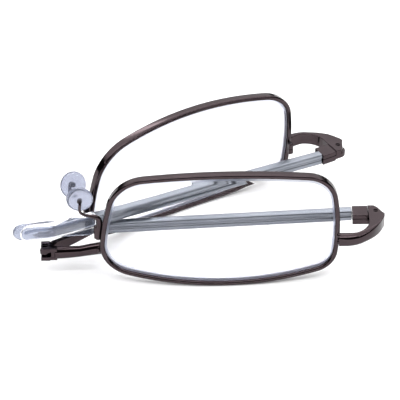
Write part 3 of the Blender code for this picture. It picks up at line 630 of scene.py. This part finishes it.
for side in SIDES:
    along = (temple_axes[side].to_3x3() @ Vector((1, 0, 0))).normalized()
    satin_silver = plated_finish(
        f"satin_blue_grey_{side}", (0.19, 0.205, 0.235), (0.275, 0.292, 0.33),
        0.26, 0.1, 0.25, (2600, 30), 0.5, along,
    )
    start, stop = SLEEVE_START, SLEEVE_START + SLEEVE_LENGTH
    soft = 0.14
    sections = [
        (start + 1.2, sleeve_section(SLEEVE_WALL)),
        (start + 0.05, sleeve_section(SLEEVE_WALL)),
        (start, sleeve_section(soft)),
        (start + soft * 0.3, sleeve_section(soft * 0.3)),
        (start + soft, sleeve_section(0)),
        (stop - soft, sleeve_section(0)),
        (stop, sleeve_section(soft)),
    ]
    bm, loops = along_rings(sections)
    for end in (loops[0], loops[-1]):
        bmesh.ops.contextual_create(bm, geom=end)
    make_piece(
        f"{side}_sleeve_tube", bm, temple_axes[side],
        f"{side}_sleeve", [f"{side}_sleeve"], satin_silver,
    )

# ---------------------------------------------------------------- temple tips
# Each tip is clear soft plastic with a faint lavender tint, moulded as a sheath over the end of the sleeve
# and widened past it into a rounded paddle. The squared metal end shows through it.
TIP_START, TIP_END = 52.5, 68.5
TIP_SHELL, TIP_GAP = 0.27, 0.04
PADDLE_THICK, PADDLE_HIGH = 2.2, 3.35
TIP_LEAN, TIP_RISE = 0.8, 0.15
ROUND_END, METAL_COVER = 1.9, 0.2


def clear_finish(name, colour, roughness, tint, density):
    """Clear tinted plastic, slightly soft at the surface, that shades only lightly, its colour darkened
    towards grazing edges as painted shade.
    """
    made = bpy.data.materials.new(name)
    made.use_nodes = True
    nodes, links = made.node_tree.nodes, made.node_tree.links
    shader = nodes["Principled BSDF"]
    shader.inputs["Metallic"].default_value = 0
    shader.inputs["IOR"].default_value = 1.34
    shader.inputs["Transmission Weight"].default_value = 0.78
    coords = nodes.new("ShaderNodeTexCoord")
    cloud = nodes.new("ShaderNodeTexNoise")
    cloud.inputs["Scale"].default_value = 350
    links.new(coords.outputs["Object"], cloud.inputs["Vector"])
    tone = nodes.new("ShaderNodeMix")
    tone.data_type = "RGBA"
    tone.inputs["A"].default_value = (*colour, 1)
    tone.inputs["B"].default_value = (*tint, 1)
    links.new(cloud.outputs["Fac"], tone.inputs["Factor"])
    # painted shade: the colour darkens where the surface turns away from the view, standing in for the darker
    # edges that clear plastic shows
    edge = nodes.new("ShaderNodeLayerWeight")
    edge.inputs["Blend"].default_value = 0.5
    falling = nodes.new("ShaderNodeMapRange")
    falling.inputs["From Min"].default_value = 0.45
    falling.inputs["From Max"].default_value = 0.95
    falling.inputs["To Min"].default_value = 1
    falling.inputs["To Max"].default_value = 0.45
    links.new(edge.outputs["Facing"], falling.inputs["Value"])
    edge_shaded_tint = nodes.new("ShaderNodeVectorMath")
    edge_shaded_tint.operation = "SCALE"
    links.new(tone.outputs["Result"], edge_shaded_tint.inputs[0])
    links.new(falling.outputs["Result"], edge_shaded_tint.inputs["Scale"])
    links.new(edge_shaded_tint.outputs[0], shader.inputs["Base Color"])
    rough = nodes.new("ShaderNodeMath")
    rough.operation = "MULTIPLY_ADD"
    rough.inputs[1].default_value = 0.06
    rough.inputs[2].default_value = roughness
    links.new(cloud.outputs["Fac"], rough.inputs[0])
    links.new(rough.outputs[0], shader.inputs["Roughness"])
    bump = nodes.new("ShaderNodeBump")
    bump.inputs["Strength"].default_value = 0.08
    bump.inputs["Distance"].default_value = 0.0001
    links.new(cloud.outputs["Fac"], bump.inputs["Height"])
    links.new(bump.outputs["Normal"], shader.inputs["Normal"])
    let_shadow_rays_through(made, (density, density, density + 0.03, 1))
    return made


tip_plastic = clear_finish("clear_tip_plastic", (0.46, 0.49, 0.58), 0.05, (0.38, 0.41, 0.51), 0.72)


def tip_section(thick, high, lean, rise, power):
    """One smooth ring of the tip, between a rounded box and an oval."""
    points = []
    for i in range(28):
        turn = 2 * math.pi * (i + 0.5) / 28
        c, s = math.cos(turn), math.sin(turn)
        y = math.copysign(abs(c) ** power, c) * thick / 2 + lean
        z = math.copysign(abs(s) ** power, s) * high / 2 + rise
        points.append((y, z))
    return points


for side in SIDES:
    # the tip leans towards the lens, which is +n in the half's axes
    lens_way = temple_axes[side].inverted().to_3x3() @ half_axes[side].to_3x3() @ Vector((0, 1, 0))
    to_lens = -1 if lens_way.y < 0 else 1
    sheath_thick, sheath_high = SLEEVE_THICK + 2 * TIP_SHELL, SLEEVE_HIGH + 2 * TIP_SHELL
    metal_end = SLEEVE_START + SLEEVE_LENGTH
    bore = [
        (metal_end + TIP_GAP, tip_section(SLEEVE_THICK + 2 * TIP_GAP, SLEEVE_HIGH + 2 * TIP_GAP, 0, 0, 0.35)),
        (TIP_START + 0.1, tip_section(SLEEVE_THICK + 2 * TIP_GAP, SLEEVE_HIGH + 2 * TIP_GAP, 0, 0, 0.35)),
    ]
    mouth = [
        (TIP_START, tip_section(sheath_thick - 0.25, sheath_high - 0.25, 0, 0, 0.42)),
        (TIP_START + 0.12, tip_section(sheath_thick - 0.05, sheath_high - 0.05, 0, 0, 0.45)),
        (TIP_START + 0.5, tip_section(sheath_thick, sheath_high, 0, 0, 0.45)),
    ]
    paddle = []
    for i in range(13):
        share = i / 12
        ease = share * share * (3 - 2 * share)
        along = metal_end + METAL_COVER + (TIP_END - ROUND_END - metal_end - METAL_COVER) * share
        thick = sheath_thick + (PADDLE_THICK - sheath_thick) * ease
        high = sheath_high + (PADDLE_HIGH - sheath_high) * ease
        paddle.append(
            (along, tip_section(thick, high, to_lens * TIP_LEAN * ease, TIP_RISE * ease, 0.47 + 0.2 * share))
        )
    for i in range(1, 9):
        turn = math.pi / 2 * i / 9
        along = TIP_END - ROUND_END + ROUND_END * math.sin(turn)
        fall = math.cos(turn)
        power = 0.67 + 0.033 * i
        ring = tip_section(PADDLE_THICK * fall, PADDLE_HIGH * fall, to_lens * TIP_LEAN, TIP_RISE, power)
        paddle.append((along, ring))
    bm, loops = along_rings(bore + mouth + paddle)
    for end in (loops[0], loops[-1]):
        bmesh.ops.contextual_create(bm, geom=end)
    make_piece(
        f"{side}_clear_tip", bm, temple_axes[side],
        f"{side}_sleeve", [f"{side}_temple_tip"], tip_plastic, 60,
    )

# ---------------------------------------------------------------- bridge arms
# The bridge is two flat arms, each soldered to the nasal side of a rim and ending in squared knuckles that
# turn on the bridge screw: two knuckles on the right arm, and one between them on the left.
ARM_U = (1.88, 2.05, 4.5, 7.0, 9.2, 11.5)
ARM_BACK, ARM_FRONT = (0.35, 0.08, 0.08, 0.1, 0.15, 0.2), (1.25, 1.5, 1.5, 1.5, 1.55, 1.6)
ARM_BOTTOM, ARM_TOP = (-7.75, -7.95, -7.8, -7.5, -7.15, -6.8), (-5.35, -5.15, -5.08, -5.02, -4.5, -4.05)
KNUCKLE_RADIUS, KNUCKLE_FLAT_U, KNUCKLE_FLAT_N = 1.74, -0.8, (-1.5, 1.45)
NECK_U, NECK_N = (0.7, 2.45), (0.1, 1.35)
KNUCKLE_BOTTOM, KNUCKLES_HIGH, MIDDLE_KNUCKLE = -7.9, 2.85, 0.89
HIDDEN_KNUCKLE = 1.05
WEB_U, WEB_N = (1.2, 2.1), (0.5, 1.3)
NECK_INSET, WEB_REACH = 0.03, 0.3
ARM_EDGE = 0.25

for side in SIDES:
    bm = bmesh.new()
    loops = []
    for u, back, front, low, high in zip(ARM_U, ARM_BACK, ARM_FRONT, ARM_BOTTOM, ARM_TOP):
        middle_v = (low + high) / 2
        verts = []
        for i in range(33):
            turn = math.pi * (i / 32 - 0.5)
            y = back + ARM_EDGE + (front - back - ARM_EDGE) * max(0, math.cos(turn)) ** 0.8
            verts.append(bm.verts.new((u, y, middle_v + (high - low) / 2 * math.sin(turn))))
        verts.append(bm.verts.new((u, back, high - ARM_EDGE)))
        verts.append(bm.verts.new((u, back, low + ARM_EDGE)))
        loops.append([bm.edges.new((a, b)) for a, b in zip(verts, verts[1:] + verts[:1])])
    for one, other in zip(loops, loops[1:]):
        bmesh.ops.bridge_loops(bm, edges=one + other)
    for end in (loops[0], loops[-1]):
        bmesh.ops.contextual_create(bm, geom=end)
    top = KNUCKLE_BOTTOM + KNUCKLES_HIGH
    middle_low = KNUCKLE_BOTTOM + (KNUCKLES_HIGH - MIDDLE_KNUCKLE) / 2
    middle_high = middle_low + MIDDLE_KNUCKLE
    if side == "right":
        levels = ((KNUCKLE_BOTTOM, middle_low - LAP_GAP), (middle_high + LAP_GAP, top))
    else:
        levels = ((middle_low, middle_high),)
    for low, high in levels:
        if side == "right":
            knuckle = [(KNUCKLE_FLAT_U, KNUCKLE_FLAT_N[0]), *arc((0, 0), KNUCKLE_RADIUS, -62, 60, 20)]
            knuckle.append((KNUCKLE_FLAT_U, KNUCKLE_FLAT_N[1]))
        else:
            knuckle = arc((0, 0), HIDDEN_KNUCKLE, 0, 345, 23)
        join_in(bm, upright_plate(knuckle, low, high, 0.12, 4))
        neck_low = (NECK_U[0], NECK_N[0], low + NECK_INSET)
        neck_high = (NECK_U[1], NECK_N[1], high - NECK_INSET)
        join_in(bm, bevelled_box(neck_low, neck_high, 0.12, 3))
    if side == "right":
        web_low = (WEB_U[0], WEB_N[0], middle_low - WEB_REACH)
        web_high = (WEB_U[1], WEB_N[1], middle_high + WEB_REACH)
        join_in(bm, bevelled_box(web_low, web_high, 0.1))
    join_in(bm, ball((10.85, 1.5, -5.3), (0.9, 1.0, 1.6)))
    make_piece(
        f"{side}_bridge_blade", bm, half_axes[side],
        f"{side}_frame", [f"{side}_bridge_arm"], gunmetal,
    )

# ---------------------------------------------------------------- nose pad arms
# Each pad arm is a springy wire, soldered by a flat foot to the nasal side of the rim and bent up and across
# to the middle of the pad.
ARM_ROUTE = (
    (10.8, 1.6, -2.4), (10.85, 1.6, -0.6), (11.05, 1.65, 1.1), (10.95, 1.75, 2.4), (10.3, 1.9, 3.15),
    (9.1, 2.0, 3.5), (8.2, 2.0, 3.75), (7.45, 2.0, 4.3), (7.2, 2.05, 5.1), (7.3, 2.1, 6.2), (7.28, 1.75, 6.7),
)
ARM_WIDTHS = (0.55, 0.66, 0.66, 0.6, 0.48, 0.34, 0.3, 0.29, 0.29, 0.29, 0.29)


def round_wire(line, widths, steps=14):
    """A round wire along a line, its radius following the widths, with its ends closed."""
    bm = bmesh.new()
    loops = []
    across = Vector((0, 1, 0))
    for i, point in enumerate(line):
        ahead = (line[min(i + 1, len(line) - 1)] - line[max(i - 1, 0)]).normalized()
        share = i / (len(line) - 1) * (len(widths) - 1)
        low = min(int(share), len(widths) - 2)
        radius = widths[low] + (widths[low + 1] - widths[low]) * (share - low)
        across = (across - ahead * across.dot(ahead)).normalized()
        other = ahead.cross(across)
        verts = []
        for k in range(steps):
            turn = 2 * math.pi * k / steps
            verts.append(bm.verts.new(point + (across * math.cos(turn) + other * math.sin(turn)) * radius))
        loops.append([bm.edges.new((a, b)) for a, b in zip(verts, verts[1:] + verts[:1])])
    for one, other_loop in zip(loops, loops[1:]):
        bmesh.ops.bridge_loops(bm, edges=one + other_loop)
    for end in (loops[0], loops[-1]):
        bmesh.ops.contextual_create(bm, geom=end)
    return bm


for side in SIDES:
    bm = round_wire(smooth_route(ARM_ROUTE, 6), ARM_WIDTHS)
    join_in(bm, bevelled_box((9.95, 1.15, -2.3), (11.1, 2.1, 0.8), 0.3, 5))
    make_piece(
        f"{side}_pad_wire", bm, half_axes[side],
        f"{side}_frame", [f"{side}_pad_arm"], gunmetal,
    )

# ---------------------------------------------------------------- nose pads
# Each pad is a round cushion of clear soft plastic, crowned on both faces, moulded over a small metal mount
# that the pad arm holds.
PAD_WIDE, PAD_THICK, PAD_HIGH = 5.35, 1.7, 5.65
pad_plastic = clear_finish("clear_pad_plastic", (0.48, 0.5, 0.6), 0.08, (0.38, 0.41, 0.51), 0.75)
pad_poses = {"right": (0, 0), "left": (-20, -12)}
for side in SIDES:
    low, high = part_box(f"{side}_nose_pad")
    middle = (low + high) / 2
    lean, swing = (math.radians(angle) for angle in pad_poses[side])
    turn = fold_angle if side == "left" else 0
    set_in = (
        Matrix.Translation(middle)
        @ Matrix.Rotation(turn, 4, "Z")
        @ Matrix.Rotation(swing, 4, "Z")
        @ Matrix.Rotation(lean, 4, "X")
        @ Matrix.Diagonal((MM, MM, MM, 1))
    )
    bm = bmesh.new()
    bmesh.ops.create_uvsphere(bm, u_segments=40, v_segments=24, radius=0.5)
    bmesh.ops.scale(bm, vec=(PAD_WIDE, PAD_THICK, PAD_HIGH), verts=bm.verts)
    make_piece(
        f"{side}_clear_pad", bm, set_in,
        f"{side}_pad", [f"{side}_nose_pad"], pad_plastic, 80,
    )

# ---------------------------------------------------------------- screws, bars, mounts and rim locks
# The small turned and milled metal pieces keep their made shape: screws of dark steel, the flat inner bars
# and their stops, the pad mounts, and the split blocks that close the rims.
for node, cad in frame["nodes"].items():
    if node.endswith(("screw", "bar_stop", "pad_mount")):
        cad.data.materials.clear()
        cad.data.materials.append(dark_steel)
    elif node.endswith(("inner_bar", "rim_lock")):
        cad.data.materials.clear()
        cad.data.materials.append(gunmetal)

# ---------------------------------------------------------------- studio
# A pale floor under a bright sky, with strip lights above, behind and at both sides, and a camera with a
# long lens.
CAMERA_AZIMUTH, CAMERA_ELEVATION, CAMERA_ROLL = 88.4, 35.85, -0.15
CAMERA_DISTANCE, CAMERA_LENS = 0.62, 279
CAMERA_TARGET = bridge_pin + Vector((31.27, 2.03, 4.0)) * MM

floor_mesh = bpy.data.meshes.new("studio_floor")
floor_bm = bmesh.new()
bmesh.ops.create_grid(floor_bm, x_segments=1, y_segments=1, size=4)
floor_bm.to_mesh(floor_mesh)
floor_bm.free()
floor = bpy.data.objects.new("studio_floor", floor_mesh)
bpy.context.scene.collection.objects.link(floor)
floor_paint = bpy.data.materials.new("studio_white")
floor_paint.use_nodes = True
paint = floor_paint.node_tree.nodes["Principled BSDF"]
paint.inputs["Base Color"].default_value = (0.93, 0.93, 0.93, 1)
paint.inputs["Roughness"].default_value = 0.9
paint.inputs["Emission Color"].default_value = (1, 1, 1, 1)
paint.inputs["Emission Strength"].default_value = 0.12
paint.inputs["Specular IOR Level"].default_value = 0.1
floor_mesh.materials.append(floor_paint)

azimuth, elevation = math.radians(CAMERA_AZIMUTH), math.radians(CAMERA_ELEVATION)
forward = Vector(
    (math.cos(azimuth) * math.cos(elevation), math.sin(azimuth) * math.cos(elevation), -math.sin(elevation))
)
camera_data = bpy.data.cameras.new("camera")
camera_data.lens = CAMERA_LENS
camera_data.sensor_width = 36
camera_data.clip_start = 0.01
camera = bpy.data.objects.new("camera", camera_data)
bpy.context.scene.collection.objects.link(camera)
camera.location = CAMERA_TARGET - forward * CAMERA_DISTANCE
level = forward.to_track_quat("-Z", "Y").to_matrix().to_4x4()
camera.rotation_euler = (level @ Matrix.Rotation(math.radians(CAMERA_ROLL), 4, "Z")).to_euler()
bpy.context.scene.camera = camera

for name, place, length, width, power in (
    ("light_above", (0.0, -0.25, 0.6), 0.7, 0.05, 1.1),
    ("light_behind", (0.1, 0.45, 0.45), 0.6, 0.04, 0.5),
    ("light_left", (-0.5, -0.3, 0.4), 0.3, 0.03, 0.35),
    ("light_right", (0.5, -0.25, 0.4), 0.3, 0.03, 0.35),
):
    lamp = bpy.data.lights.new(name, "AREA")
    lamp.shape = "RECTANGLE"
    lamp.size = length
    lamp.size_y = width
    lamp.energy = power
    holder = bpy.data.objects.new(name, lamp)
    bpy.context.scene.collection.objects.link(holder)
    holder.location = place
    holder.rotation_euler = (-Vector(place)).to_track_quat("-Z", "Y").to_euler()

world = bpy.data.worlds.new("studio_world")
bpy.context.scene.world = world
world.use_nodes = True
sky = world.node_tree
backdrop = sky.nodes["Background"]
direction = sky.nodes.new("ShaderNodeTexCoord")
tilted = sky.nodes.new("ShaderNodeVectorMath")
tilted.operation = "DOT_PRODUCT"
tilted.inputs[1].default_value = (0, 0.4, 1)
ramp = sky.nodes.new("ShaderNodeValToRGB")
ramp.color_ramp.elements[0].position = 0.48
ramp.color_ramp.elements[0].color = (0.04, 0.035, 0.035, 1)
ramp.color_ramp.elements[1].position = 0.66
ramp.color_ramp.elements[1].color = (1.9, 1.9, 1.92, 1)
rays = sky.nodes.new("ShaderNodeLightPath")
seen = sky.nodes.new("ShaderNodeMix")
seen.data_type = "RGBA"
seen.inputs["B"].default_value = (1, 1, 1, 1)
sky.links.new(direction.outputs["Generated"], tilted.inputs[0])
sky.links.new(tilted.outputs["Value"], ramp.inputs["Fac"])
sky.links.new(rays.outputs["Is Camera Ray"], seen.inputs["Factor"])
sky.links.new(ramp.outputs["Color"], seen.inputs["A"])
sky.links.new(seen.outputs["Result"], backdrop.inputs["Color"])
bpy.context.scene.view_settings.view_transform = "Standard"
